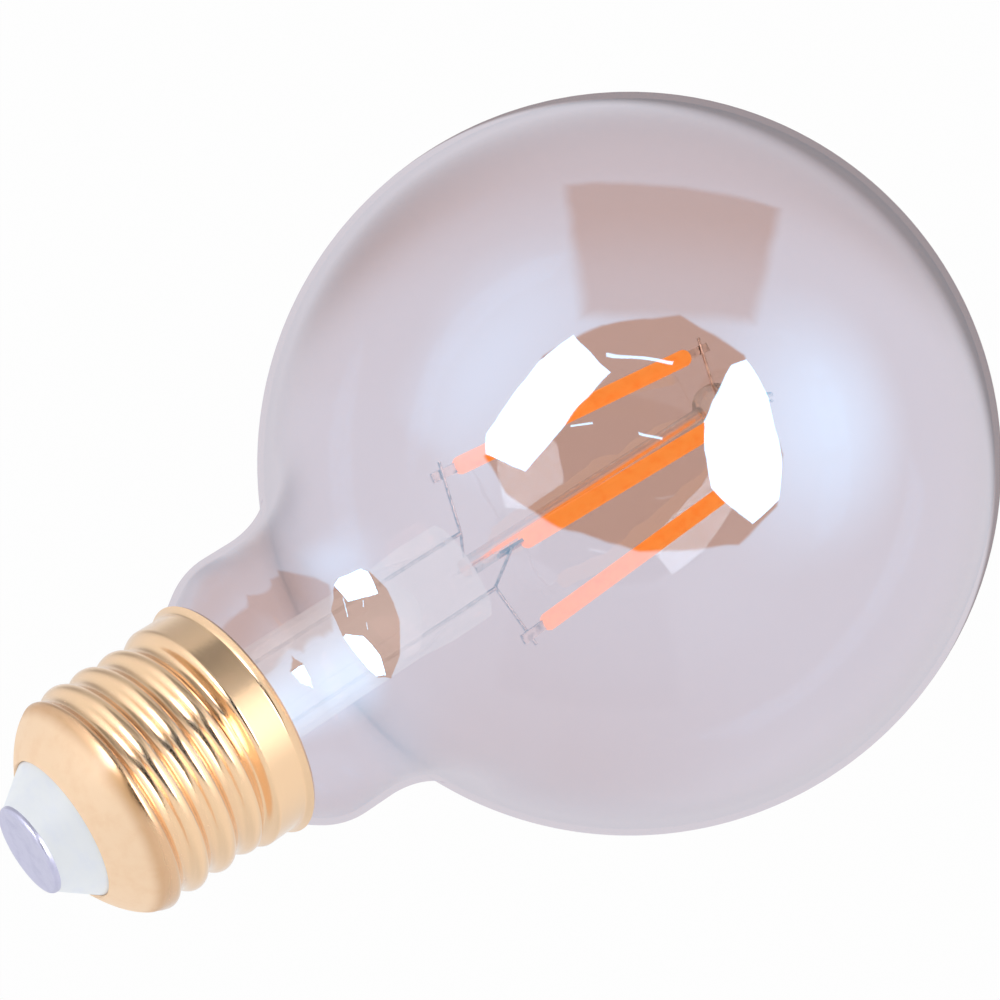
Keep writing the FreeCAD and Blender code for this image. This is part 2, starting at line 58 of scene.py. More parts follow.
def linear(red: float, green: float, blue: float) -> Colour:
    """Turn a display colour, from 0 to 255, into the renderer's linear one, from 0 to 1."""
    shares = (red / 255, green / 255, blue / 255)
    return tuple(s / 12.92 if s <= 0.04045 else ((s + 0.055) / 1.055) ** 2.4 for s in shares)


def opaque(colour: Colour) -> tuple[float, float, float, float]:
    """Return a colour with full alpha, as colour sockets need it."""
    return (*colour, 1.0)


class Shade:
    """A shader socket that takes part in Python expressions."""

    def __init__(self, bench: "Bench", socket: bpy.types.NodeSocket) -> None:
        """Keep the socket and the bench whose nodes it belongs to."""
        self.bench = bench
        self.socket = socket

    def _math(self, operation: str, *values: "Value") -> "Shade":
        """Add one Math node and return its result."""
        return self.bench.node("ShaderNodeMath", {"operation": operation}, dict(enumerate(values)))

    def __add__(self, other: "Value") -> "Shade":
        """Return the sum."""
        return self._math("ADD", self, other)

    def __radd__(self, other: "Value") -> "Shade":
        """Return the sum with a number on the left."""
        return self._math("ADD", other, self)

    def __sub__(self, other: "Value") -> "Shade":
        """Return the difference."""
        return self._math("SUBTRACT", self, other)

    def __rsub__(self, other: "Value") -> "Shade":
        """Return the difference from a number."""
        return self._math("SUBTRACT", other, self)

    def __mul__(self, other: "Value") -> "Shade":
        """Return the product."""
        return self._math("MULTIPLY", self, other)

    def __rmul__(self, other: "Value") -> "Shade":
        """Return the product with a number on the left."""
        return self._math("MULTIPLY", other, self)

    def __truediv__(self, other: "Value") -> "Shade":
        """Return the quotient."""
        return self._math("DIVIDE", self, other)

    def __pow__(self, other: "Value") -> "Shade":
        """Return the power."""
        return self._math("POWER", self, other)

    def least(self, other: "Value") -> "Shade":
        """Return the smaller of two values."""
        return self._math("MINIMUM", self, other)

    def most(self, other: "Value") -> "Shade":
        """Return the larger of two values."""
        return self._math("MAXIMUM", self, other)

    def sine(self) -> "Shade":
        """Return the sine."""
        return self._math("SINE", self)

    def ease(self, low: float, high: float) -> "Shade":
        """Return a smooth step from 0 at a low value to 1 at a high one."""
        settings = {"interpolation_type": "SMOOTHSTEP"}
        inputs = {0: self, 1: low, 2: high, 3: 0.0, 4: 1.0}
        return self.bench.node("ShaderNodeMapRange", settings, inputs)

    def ease_mm(self, span: Point) -> "Shade":
        """Return a smooth step between two places in millimetres."""
        return self.ease(span[0] * MM, span[1] * MM)


Value = Union[Shade, float, tuple]


class Bench:
    """The nodes of one material or of the world."""

    def __init__(self, tree: bpy.types.NodeTree) -> None:
        """Start with an empty tree."""
        self.tree = tree
        tree.nodes.clear()

    def node(
        self,
        kind: str,
        settings: Optional[dict[str, Any]] = None,
        inputs: Optional[dict[Union[int, str], Value]] = None,
        output: Union[int, str] = 0,
    ) -> Shade:
        """Add one node.

        Args:
            kind: The node's type.
            settings: Its own settings, set first.
            inputs: Values or links by socket.
            output: The socket to return.

        Returns:
            The chosen output, or a shade without a socket for an output node.
        """
        made = self.tree.nodes.new(kind)
        for name, value in (settings or {}).items():
            setattr(made, name, value)
        for key, value in (inputs or {}).items():
            if isinstance(value, Shade):
                self.tree.links.new(value.socket, made.inputs[key])
            else:
                made.inputs[key].default_value = value
        return Shade(self, made.outputs[output] if made.outputs else None)

    def place(self) -> Shade:
        """Return the point on the piece, in metres."""
        return self.node("ShaderNodeTexCoord", {}, {}, "Object")

    def seen(self) -> Shade:
        """Return 1 for what the camera sees, straight or through bending glass."""
        straight = self.node("ShaderNodeLightPath", {}, {}, "Is Camera Ray")
        return straight.most(self.node("ShaderNodeLightPath", {}, {}, "Is Transmission Ray"))

    def axes(self, vector: Shade) -> tuple[Shade, Shade, Shade]:
        """Return a vector's three parts."""
        split = self.node("ShaderNodeSeparateXYZ", {}, {0: vector})
        outputs = split.socket.node.outputs
        return Shade(self, outputs[0]), Shade(self, outputs[1]), Shade(self, outputs[2])

    def grain(
        self, vector: Shade, size_mm: float, detail: float = 2.0, roughness: float = 0.5
    ) -> Shade:
        """Return a noise from 0 to 1.

        Args:
            vector: Where to read it.
            size_mm: Size of its largest spots.
            detail: Number of finer layers.
            roughness: How strong the finer layers are.

        Returns:
            The noise value.
        """
        scale = 1.0 / (size_mm * MM)
        inputs = {"Vector": vector, "Scale": scale, "Detail": detail, "Roughness": roughness}
        return self.node("ShaderNodeTexNoise", {}, inputs)

    def stretched(self, vector: Shade, scale: Triple) -> Shade:
        """Return a vector scaled along each axis."""
        return self.node("ShaderNodeMapping", {}, {"Vector": vector, "Scale": scale})

    def blend(
        self, factor: Value, first: Union[Shade, Colour], second: Union[Shade, Colour]
    ) -> Shade:
        """Return a mix of two colours."""
        ends = [end if isinstance(end, Shade) else opaque(end) for end in (first, second)]
        inputs = {0: factor, 6: ends[0], 7: ends[1]}
        return self.node("ShaderNodeMix", {"data_type": "RGBA"}, inputs, 2)

    def mixed(self, factor: Value, first: Shade, second: Shade) -> Shade:
        """Return a mix of two surfaces."""
        return self.node("ShaderNodeMixShader", {}, {0: factor, 1: first, 2: second})

    def clear(self, tint: Colour) -> Shade:
        """Return a see-through surface."""
        return self.node("ShaderNodeBsdfTransparent", {}, {"Color": opaque(tint)})

    def mirror(self, colour: Colour, **sockets: Value) -> Shade:
        """Return a sharp mirror."""
        inputs = {"Color": opaque(colour), "Roughness": 0.0, **sockets}
        return self.node("ShaderNodeBsdfGlossy", {}, inputs)

    def facing(self) -> Shade:
        """Return 0 where a surface faces the eye, growing to 1 at its edge."""
        return self.node("ShaderNodeLayerWeight", {}, {"Blend": 0.5}, "Facing")

    def relief(self, height: Shade, depth_mm: float, strength: float = 1.0) -> Shade:
        """Return a normal from a height, in units of the depth."""
        inputs = {"Strength": strength, "Distance": depth_mm * MM, "Height": height}
        return self.node("ShaderNodeBump", {}, inputs, "Normal")

    def solid_surface(self, **sockets: Value) -> Shade:
        """Return a Principled surface; underscores in names stand for spaces."""
        inputs = {}
        for name, value in sockets.items():
            inputs[name.replace("_", " ")] = opaque(value) if isinstance(value, tuple) else value
        return self.node("ShaderNodeBsdfPrincipled", {}, inputs)


@dataclass(frozen=True)
class Finish:
    """What a surface looks like; each kind builds its own nodes."""

    name: str

    def surface(self, bench: Bench) -> Shade:
        """Return the surface shader."""
        raise NotImplementedError

    def material(self) -> bpy.types.Material:
        """Return a new material with this finish."""
        material = bpy.data.materials.new(self.name)
        material.use_nodes = True
        material.cycles.emission_sampling = "NONE"
        bench = Bench(material.node_tree)
        bench.node("ShaderNodeOutputMaterial", {}, {"Surface": self.surface(bench)})
        return material


@dataclass(frozen=True)
class CoatedGlass(Finish):
    """Blown glass with a thin amber coat that mirrors blue."""

    tint: Colour
    mirror: Colour
    edge: Colour = (0.80, 0.76, 0.825)
    edge_gain: float = 2.3
    edge_power: float = 3.67
    edge_most: float = 0.75
    inside_mirror: float = 0.32
    waviness_mm: float = 0.045
    swell_mm: float = 7.0
    ripple_mm: float = 3.0
    ripple_stretch: Triple = (1.0, 1.0, 0.5)
    ripple_share: float = 0.18
    flare_mm: float = 7.3
    flare_span_mm: Point = (-54.0, -35.0)
    collar_mm: float = 6.8
    collar_span_mm: Point = (-34.0, -20.0)

    def normal(self, bench: Bench) -> Shade:
        """Return the wavy normal, bent along the neck to place its reflection as in the photo."""
        place = bench.place()
        swell = bench.grain(place, self.swell_mm, 1.0)
        ripple = bench.grain(bench.stretched(place, self.ripple_stretch), self.ripple_mm, 1.0)
        height = bench.axes(place)[2]
        bend = self.collar_mm * height.ease_mm(self.collar_span_mm)
        bend = bend - self.flare_mm * height.ease_mm(self.flare_span_mm)
        return bench.relief(self.waviness_mm * (swell + self.ripple_share * ripple) + bend, 1.0)

    def surface(self, bench: Bench) -> Shade:
        """Return clear amber plus a bluish mirror, with a paler one towards the edge."""
        through = bench.clear(self.tint)
        shine = bench.mirror(self.mirror, Normal=self.normal(bench))
        coat = bench.node("ShaderNodeAddShader", {}, {0: through, 1: shine})
        inside = bench.node("ShaderNodeNewGeometry", {}, {}, "Backfacing")
        coat = bench.mixed(inside * (1 - self.inside_mirror), coat, through)
        limb = (self.edge_gain * bench.facing() ** self.edge_power).least(self.edge_most)
        return bench.mixed(limb * (1 - inside), coat, bench.mirror(self.edge))


@dataclass(frozen=True)
class ClearGlass(Finish):
    """Thin clear glass: see-through with a plain gloss."""

    tint: Colour
    gloss: float
    edge_gloss: float = 0.6
    edge_power: float = 4.0
    shine: Colour = (0.8, 0.8, 0.8)

    def surface(self, bench: Bench) -> Shade:
        """Return a see-through surface whose gloss grows towards the edge."""
        normal = bench.relief(bench.grain(bench.place(), 3.0, 2.0), 0.01)
        gloss = self.gloss + self.edge_gloss * bench.facing() ** self.edge_power
        return bench.mixed(gloss, bench.clear(self.tint), bench.mirror(self.shine, Normal=normal))


@dataclass(frozen=True)
class BentGlass(Finish):
    """Thick clear glass that bends light."""

    tint: Colour
    body: float
    # share of painted glow: an emission on the glass that stands in for sheen
    painted_glow_share: float = 0.0
    ior: float = 1.5
    glow: Colour = (1.0, 0.93, 0.9)
    glow_strength: float = 0.85

    def surface(self, bench: Bench) -> Shade:
        """Return a refracting surface with faint drawn streaks, and a painted glow in streaks that
        stands in for sheen.
        """
        place = bench.stretched(bench.place(), (1.0, 1.0, 0.12))
        normal = bench.relief(bench.grain(place, 1.2, 2.0), 0.02)
        bent = bench.node(
            "ShaderNodeBsdfGlass",
            {},
            {"Color": opaque(self.tint), "Roughness": 0.0, "IOR": self.ior, "Normal": normal},
        )
        clear = bench.mixed(self.body, bench.clear(self.tint), bent)
        lit = {"Color": opaque(self.glow), "Strength": self.glow_strength}
        # painted glow: an emission in faint streaks makes the stem look lit, standing in for sheen
        painted_glow_mix = self.painted_glow_share * (0.6 + 0.8 * bench.grain(place, 2.5, 2.0))
        return bench.mixed(painted_glow_mix, clear, bench.node("ShaderNodeEmission", {}, lit))


@dataclass(frozen=True)
class GoldSheet(Finish):
    """Gold lacquered sheet, rolled to a thread."""

    colour: Colour
    matt: Colour
    worn: Colour
    # deep: darker gold painted into the grooves as shade, and into the band at the shoulder
    deep: Colour
    root_mm: float
    crest_mm: float
    groove_share: float = 0.45
    blotch_mm: float = 2.6
    worn_share: float = 0.2
    # how far the grooves are painted with shade towards the deep colour
    groove_shade_share: float = 0.75
    border_tone: float = 0.6
    roughness: float = 0.17
    matt_roughness: float = 0.4
    matt_dielectric: float = 0.75
    matt_uncoated: float = 0.8
    cone_span_mm: Point = (-9.0, -7.6)
    thread_span_mm: Point = (-23.2, -22.2)
    border_start_mm: Point = (-10.4, -9.2)
    border_end_mm: Point = (-8.2, -6.8)
    lacquer_ior: float = 2.4
    lacquer_roughness: float = 0.25

    def surface(self, bench: Bench) -> Shade:
        """Return lacquered gold with painted shade in the grooves, a darker band at the shoulder,
        and a matt plain end.
        """
        place = bench.place()
        x, y, z = bench.axes(place)
        radius = (x * x + y * y) ** 0.5
        groove_top = self.root_mm + self.groove_share * (self.crest_mm - self.root_mm)
        groove = 1 - radius.ease_mm((self.root_mm, groove_top))
        blotch = bench.grain(place, self.blotch_mm, 4.0, 0.6).ease(0.42, 0.72)
        cone = z.ease_mm(self.cone_span_mm)
        thread = (1 - cone) * z.ease_mm(self.thread_span_mm)
        tone = bench.blend(cone, self.colour, self.matt)
        tone = bench.blend(self.worn_share * blotch, tone, self.worn)
        border = z.ease_mm(self.border_start_mm) * (1 - z.ease_mm(self.border_end_mm))
        # painted shade: the thread's grooves are darkened towards the deep colour, standing in for
        # their shadow and the gold's reflection of itself; the band where the thread runs out into
        # the shoulder is darkened too
        painted_shade_and_band = (groove * thread * self.groove_shade_share).most(self.border_tone * border)
        rolled = bench.grain(bench.stretched(place, (1.0, 1.0, 9.0)), 3.0, 3.0)
        fine = bench.grain(place, 0.35, 2.0)
        soil = blotch + groove * thread
        normal = bench.relief(0.5 * rolled + 0.3 * fine + 0.5 * blotch * cone, 0.03, 0.6)
        return bench.solid_surface(
            Base_Color=bench.blend(painted_shade_and_band, tone, self.deep),
            Metallic=1 - self.matt_dielectric * cone,
            Roughness=self.roughness + 0.1 * soil + self.matt_roughness * cone,
            Normal=normal,
            Coat_Weight=1 - self.matt_uncoated * cone,
            Coat_Roughness=self.lacquer_roughness,
            Coat_IOR=self.lacquer_ior,
        )


@dataclass(frozen=True)
class WhiteGlass(Finish):
    """Smooth white moulded insulator."""

    colour: Colour
    shade: Colour
    flow_mm: float = 3.5
    roughness: float = 0.4

    def surface(self, bench: Bench) -> Shade:
        """Return a smooth white with faint flow marks."""
        place = bench.place()
        flow = bench.grain(bench.stretched(place, (1.0, 1.0, 2.5)), self.flow_mm, 3.0)
        return bench.solid_surface(
            Base_Color=bench.blend(flow.ease(0.35, 0.75), self.colour, self.shade),
            Roughness=self.roughness + 0.12 * flow,
            Normal=bench.relief(flow, 0.03, 0.5),
        )


@dataclass(frozen=True)
class TurnedTin(Finish):
    """Tinned contact with faint turning marks."""

    colour: Colour
    dull: Colour
    ring_mm: float = 0.28
    stain_mm: float = 2.2
    metallic: float = 0.85
    roughness: float = 0.34

    def surface(self, bench: Bench) -> Shade:
        """Return a satin metal with rings about the axis."""
        place = bench.place()
        x, y, _ = bench.axes(place)
        radius = (x * x + y * y) ** 0.5
        turns = radius * (2 * math.pi / (self.ring_mm * MM))
        rings = (turns + 3.0 * bench.grain(place, 1.5, 2.0)).sine() * 0.5 + 0.5
        stain = bench.grain(place, self.stain_mm, 4.0, 0.6).ease(0.4, 0.75)
        return bench.solid_surface(
            Base_Color=bench.blend(stain, self.colour, self.dull),
            Metallic=self.metallic,
            Roughness=self.roughness + 0.08 * stain + 0.05 * rings,
            Normal=bench.relief(rings + stain, 0.003, 0.5),
        )


@dataclass(frozen=True)
class Silicone(Finish):
    """Orange silicone coat of a filament."""

    colour: Colour
    deep: Colour
    glow: float
    lump_mm: float = 1.6
    roughness: float = 0.42

    def surface(self, bench: Bench) -> Shade:
        """Return a soft orange, a little uneven along the rod, with a painted glow in its own
        colour.
        """
        lumps = bench.grain(bench.place(), self.lump_mm, 2.0)
        tone = bench.blend(lumps.ease(0.4, 0.8), self.colour, self.deep)
        return bench.solid_surface(
            Base_Color=tone,
            Roughness=self.roughness + 0.12 * lumps,
            Normal=bench.relief(lumps, 0.08, 0.5),
            # painted glow: the unlit filament emits its own colour so that it looks lighter
            Emission_Color=tone,
            Emission_Strength=self.glow,
        )


@dataclass(frozen=True)
class DrawnWire(Finish):
    """Drawn metal wire or strip."""

    colour: Colour
    dull: Colour
    roughness: float = 0.28
    stain_mm: float = 1.1
    grain_mm: float = 0.25

    def surface(self, bench: Bench) -> Shade:
        """Return a metal with faint oxide stains."""
        place = bench.place()
        stain = bench.grain(place, self.stain_mm, 3.0).ease(0.4, 0.75)
        return bench.solid_surface(
            Base_Color=bench.blend(stain, self.colour, self.dull),
            Metallic=1.0,
            Roughness=self.roughness + 0.15 * stain,
            Normal=bench.relief(bench.grain(place, self.grain_mm, 2.0), 0.01, 0.5),
        )


@dataclass(frozen=True)
class MattFinish(Finish):
    """Grainy matt surface, such as cement, solder mask or moulded plastic."""

    colour: Colour
    speck: Colour
    grain_mm: float
    roughness: float
    relief_mm: float = 0.03

    def surface(self, bench: Bench) -> Shade:
        """Return a matt colour with specks of a second one."""
        specks = bench.grain(bench.place(), self.grain_mm, 3.0)
        return bench.solid_surface(
            Base_Color=bench.blend(specks.ease(0.4, 0.7), self.colour, self.speck),
            Roughness=self.roughness + 0.1 * specks,
            Normal=bench.relief(specks, self.relief_mm, 0.6),
        )


class Paint(Enum):
    """Finishes of the bulb."""

    COATED_GLASS = CoatedGlass("coated_glass", (0.707, 0.55, 0.496), (0.136, 0.275, 0.405))
    INNER_GLASS = ClearGlass("inner_glass", (0.99, 0.99, 0.985), 0.01)
    # the last number is the share of painted glow on the stem, standing in for sheen
    STEM_GLASS = BentGlass("stem_glass", (0.995, 0.99, 0.985), 0.2, 0.36)
    ROD_GLASS = BentGlass("rod_glass", (0.97, 0.98, 0.97), 0.7)
    GOLD = GoldSheet(
        "gold_sheet",
        linear(242, 197, 144),
        linear(255, 222, 186),
        linear(236, 188, 140),
        # the fourth colour is the darker gold painted into the grooves as shade
        linear(198, 138, 70),
        12.05,
        13.1,
    )
    INSULATOR = WhiteGlass("white_glass", linear(246, 250, 255), linear(240, 245, 255))
    CONTACT = TurnedTin("turned_tin", linear(206, 206, 230), linear(196, 196, 222))
    FILAMENT = Silicone("orange_silicone", linear(255, 162, 62), linear(253, 150, 46), 0.8)
    NICKEL = DrawnWire("nickel_wire", linear(216, 208, 202), linear(160, 150, 145), 0.35)
    COPPER = DrawnWire("copper_wire", linear(214, 150, 108), linear(170, 106, 70))
    CEMENT = MattFinish("cement", linear(214, 206, 190), linear(188, 178, 160), 0.8, 0.8, 0.15)
    BOARD = MattFinish("solder_mask", linear(52, 104, 62), linear(40, 86, 50), 1.5, 0.42)
    PACKAGE = MattFinish("moulded_package", linear(34, 34, 37), linear(52, 52, 55), 0.3, 0.55)
    CAN = DrawnWire("aluminium_can", linear(212, 214, 217), linear(184, 186, 190))
    RESISTOR = MattFinish(
        "resistor_lacquer", linear(140, 176, 188), linear(122, 158, 170), 0.6, 0.4
    )


class Wardrobe:
    """Materials by finish, each made once."""

    def __init__(self) -> None:
        """Start with no materials."""
        self._made: dict[Paint, bpy.types.Material] = {}

    def get(self, paint: Paint) -> bpy.types.Material:
        """Return the material of a finish."""
        if paint not in self._made:
            self._made[paint] = paint.value.material()
        return self._made[paint]


class Outline:
    """An open line of radius and height, in millimetres, that is turned round the bulb's axis."""

    def __init__(self, radius: float, height: float) -> None:
        """Start the line at one point."""
        self.mesh = bmesh.new()
        self.tip = self.mesh.verts.new((radius * MM, 0, height * MM))

    def line_to(self, radius: float, height: float) -> "Outline":
        """Go straight to a point."""
        grown = bmesh.ops.extrude_vert_indiv(self.mesh, verts=[self.tip])
        self.tip = grown["verts"][0]
        self.tip.co = (radius * MM, 0, height * MM)
        return self

    def arc(self, centre: Point, degrees: float, steps: int) -> "Outline":
        """Go round a centre, anticlockwise with the radius to the right and the height up."""
        grown = bmesh.ops.spin(
            self.mesh,
            geom=[self.tip],
            cent=(centre[0] * MM, 0, centre[1] * MM),
            axis=(0, -1, 0),
            angle=math.radians(degrees),
            steps=steps,
        )
        self.tip = next(item for item in grown["geom_last"] if isinstance(item, bmesh.types.BMVert))
        return self

    def curve_to(self, corner: Point, end: Point, steps: int) -> "Outline":
        """Go along a curve that leaves towards a corner and arrives from it.

        Args:
            corner: Where the tangents of the two ends meet.
            end: Where the curve ends.
            steps: Number of its straight parts.

        Returns:
            This line.
        """
        start = Vector((self.tip.co.x, self.tip.co.z)) / MM
        for step in range(1, steps + 1):
            share = step / steps
            first = start.lerp(Vector(corner), share)
            self.line_to(*first.lerp(Vector(corner).lerp(Vector(end), share), share))
        return self

    def turned(self, steps: int) -> bmesh.types.BMesh:
        """Turn the line once round the axis.

        Args:
            steps: Number of sides.

        Returns:
            The turned mesh, its doubles merged and its faces outwards.
        """
        bmesh.ops.spin(
            self.mesh,
            geom=self.mesh.verts[:] + self.mesh.edges[:],
            cent=(0, 0, 0),
            axis=(0, 0, 1),
            angle=2 * math.pi,
            steps=steps,
            use_merge=True,
        )
        tidy(self.mesh)
        return self.mesh


def tidy(mesh: bmesh.types.BMesh) -> None:
    """Merge doubles and turn the faces outwards."""
    bmesh.ops.remove_doubles(mesh, verts=mesh.verts[:], dist=MERGE_DISTANCE)
    bmesh.ops.recalc_face_normals(mesh, faces=mesh.faces[:])


@dataclass
class Shop:
    """Turns meshes into pieces of the bulb and dresses the frame's own nodes."""

    wardrobe: Wardrobe
    crease_degrees: float = 32.0

    def piece(
        self,
        name: str,
        mesh: bmesh.types.BMesh,
        paints: Sequence[Paint],
        nodes: Sequence[str],
    ) -> None:
        """Make a piece that stands for nodes of the frame.

        Args:
            name: The piece's name.
            mesh: Its mesh, in place; it is freed.
            paints: Its finishes by material index.
            nodes: The nodes it stands for.
        """
        limit = math.radians(self.crease_degrees)
        for edge in mesh.edges:
            edge.smooth = not (edge.is_manifold and edge.calc_face_angle(0.0) > limit)
        for face in mesh.faces:
            face.smooth = True
        data = bpy.data.meshes.new(name)
        mesh.to_mesh(data)
        mesh.free()
        for paint in paints:
            data.materials.append(self.wardrobe.get(paint))
        made = bpy.data.objects.new(name, data)
        bpy.context.scene.collection.objects.link(made)
        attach(made, BODY)
        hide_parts(*nodes)
        LOG.info("piece %s: %d faces", name, len(data.polygons))

    def dress(self, paint: Paint, *nodes: str) -> None:
        """Give nodes of the frame a finish."""
        for node in nodes:
            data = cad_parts[node].data
            data.materials.clear()
            data.materials.append(self.wardrobe.get(paint))
            LOG.info("node %s: %s", node, paint.name.lower())


@dataclass
class GlassEnvelope:
    """The blown globe with its neck, sizes in millimetres."""

    globe_radius: float = 47.5
    globe_height: float = -91.5
    neck_root: float = 17.4
    neck_end: float = 17.1
    neck_fillet: float = 16.0
    corner_height: float = -32.0
    shoulder_fillet: float = 7.0
    seal_radius: float = 10.8
    seal_height: float = -22.8
    wall: float = 0.8
    sides: int = 160
    globe_rows: int = 96
    neck_rows: int = 32
    cone_rows: int = 8

    def outline(self) -> Outline:
        """Return the outer line from the crown to the seal, with tangent arcs as its bends."""
        globe = Vector((0, self.globe_height))
        rise = math.sqrt(self.globe_radius**2 - self.neck_root**2)
        root = Vector((self.neck_root, self.globe_height + rise))
        corner = Vector((self.neck_end, self.corner_height))
        seal = Vector((self.seal_radius, self.seal_height))
        along = (corner - root).normalized()
        outward = Vector((along.y, -along.x))
        start = root + outward * self.neck_fillet - globe
        reach = self.globe_radius + self.neck_fillet
        step = -start.dot(along) + math.sqrt(start.dot(along) ** 2 - start.dot(start) + reach**2)
        centre = globe + start + along * step
        touch = (centre - globe).normalized()
        swing = math.degrees(math.atan2(touch.x, -touch.y))
        turn_in = math.degrees((-touch).angle_signed(-outward))
        slope = (seal - corner).normalized()
        bend = math.degrees(along.angle(slope))
        run = self.shoulder_fillet * math.tan(math.radians(bend / 2))
        bend_start = corner - along * run
        bend_centre = bend_start - outward * self.shoulder_fillet
        line = Outline(0.0, self.globe_height - self.globe_radius)
        line.arc((0.0, self.globe_height), swing, self.globe_rows)
        line.arc(tuple(centre), -abs(turn_in), self.neck_rows)
        line.line_to(*bend_start)
        line.arc(tuple(bend_centre), bend, FILLET_ROWS)
        slope_start = bend_centre + Vector((slope.y, -slope.x)) * self.shoulder_fillet
        for row in range(1, self.cone_rows + 1):
            line.line_to(*slope_start.lerp(seal, row / self.cone_rows))
        return line

    def build(self, shop: Shop) -> None:
        """Make the glass wall, coated outside and plain inside."""
        mesh = self.outline().turned(self.sides)
        grown = bmesh.ops.solidify(mesh, geom=mesh.faces[:], thickness=self.wall * MM)
        for item in grown["geom"]:
            if isinstance(item, bmesh.types.BMFace):
                item.material_index = 1
        paints = (Paint.COATED_GLASS, Paint.INNER_GLASS)
        shop.piece("globe_glass", mesh, paints, ("glass_globe",))


@dataclass
class StemMount:
    """Flared glass stem, exhaust tube and centre rod, sizes in millimetres."""

    seal_radius: float = 10.8
    seal_height: float = -22.8
    inner_seal: float = 9.83
    wall: float = 1.0
    tube_radius: float = 6.0
    flare_end: float = -32.8
    tube_end: float = -51.2
    bore_end: float = -53.8
    bore_end_radius: float = 2.0
    pinch_top: float = -56.2
    pinch_end: float = -62.7
    pinch_half: Point = (6.5, 2.3)
    pinch_rounding: float = 0.5
    pinch_end_share: float = 0.9
    exhaust_radius: float = 2.0
    exhaust_wall: float = 0.8
    exhaust_tip: float = -18.2
    exhaust_gap: float = 0.05
    rod_radius: float = 1.3
    button_radius: float = 3.2
    button_height: float = -109.0
    button_half: float = 2.5
    curve_rows: int = 12
    button_rows: int = 10
    sides: int = 96
    exhaust_sides: int = 48
    rod_sides: int = 64

    def stem_mesh(self) -> bmesh.types.BMesh:
        """Return the flare and tube, drawn down to the flat pinch."""
        flange = self.seal_height + self.wall
        line = Outline(0.0, self.bore_end).line_to(self.bore_end_radius, self.bore_end)
        bore = self.tube_radius - self.wall
        line.line_to(bore, self.tube_end).line_to(bore, self.flare_end)
        line.curve_to((bore, flange), (self.inner_seal, flange), self.curve_rows)
        line.line_to(self.seal_radius, flange).line_to(self.seal_radius, self.seal_height)
        line.line_to(self.inner_seal, self.seal_height)
        corner = (self.tube_radius, self.seal_height)
        line.curve_to(corner, (self.tube_radius, self.flare_end), self.curve_rows)
        mesh = line.line_to(self.tube_radius, self.tube_end).turned(self.sides)
        ring = [edge for edge in mesh.edges if edge.is_boundary]
        wide, thick = (half / self.tube_radius for half in self.pinch_half)
        end_share = self.pinch_end_share
        rows = (
            (self.pinch_top, wide, thick),
            (self.pinch_end + self.pinch_rounding, 1.0, 1.0),
            (self.pinch_end, end_share, end_share),
        )
        for height, across, deep in rows:
            grown = bmesh.ops.extrude_edge_only(mesh, edges=ring)["geom"]
            ring = [item for item in grown if isinstance(item, bmesh.types.BMEdge)]
            for vert in (item for item in grown if isinstance(item, bmesh.types.BMVert)):
                vert.co = (vert.co.x * across, vert.co.y * deep, height * MM)
        bmesh.ops.contextual_create(mesh, geom=ring)
        tidy(mesh)
        return mesh

    def exhaust_mesh(self) -> bmesh.types.BMesh:
        """Return the exhaust tube with its tipped end."""
        inner = self.exhaust_radius - self.exhaust_wall
        shoulder = self.exhaust_tip - self.exhaust_radius
        start = self.bore_end + self.exhaust_gap
        line = Outline(inner, start).line_to(self.exhaust_radius, start)
        line.line_to(self.exhaust_radius, shoulder).arc((0.0, shoulder), 90.0, FILLET_ROWS)
        mesh = line.turned(self.exhaust_sides)
        ring = [edge for edge in mesh.edges if edge.is_boundary]
        grown = bmesh.ops.extrude_edge_only(mesh, edges=ring)["geom"]
        for vert in (item for item in grown if isinstance(item, bmesh.types.BMVert)):
            vert.co.z = (shoulder - inner) * MM
        ring = [item for item in grown if isinstance(item, bmesh.types.BMEdge)]
        bmesh.ops.contextual_create(mesh, geom=ring)
        tidy(mesh)
        return mesh

    def rod_mesh(self) -> bmesh.types.BMesh:
        """Return the centre rod with its button."""
        top = self.button_height + self.button_half
        low = self.button_height - self.button_half
        line = Outline(0.0, self.pinch_end).line_to(self.rod_radius, self.pinch_end)
        line.line_to(self.rod_radius, top)
        middle = (self.button_radius, self.button_height)
        line.curve_to((self.button_radius, top), middle, self.button_rows)
        line.curve_to((self.button_radius, low), (0.0, low), self.button_rows)
        return line.turned(self.rod_sides)

    def build(self, shop: Shop) -> None:
        """Make the stem, the exhaust tube and the rod."""
        glass = (Paint.STEM_GLASS,)
        shop.piece("stem_glass", self.stem_mesh(), glass, ("stem",))
        shop.piece("exhaust_glass", self.exhaust_mesh(), glass, ("exhaust_tube",))
        shop.piece("rod_glass", self.rod_mesh(), (Paint.ROD_GLASS,), ("centre_rod",))


def around(radius: float, angle: float, height: float) -> Vector:
    """Return the point at a radius, an angle in degrees and a height."""
    turn = math.radians(angle)
    return Vector((radius * math.cos(turn), radius * math.sin(turn), height))


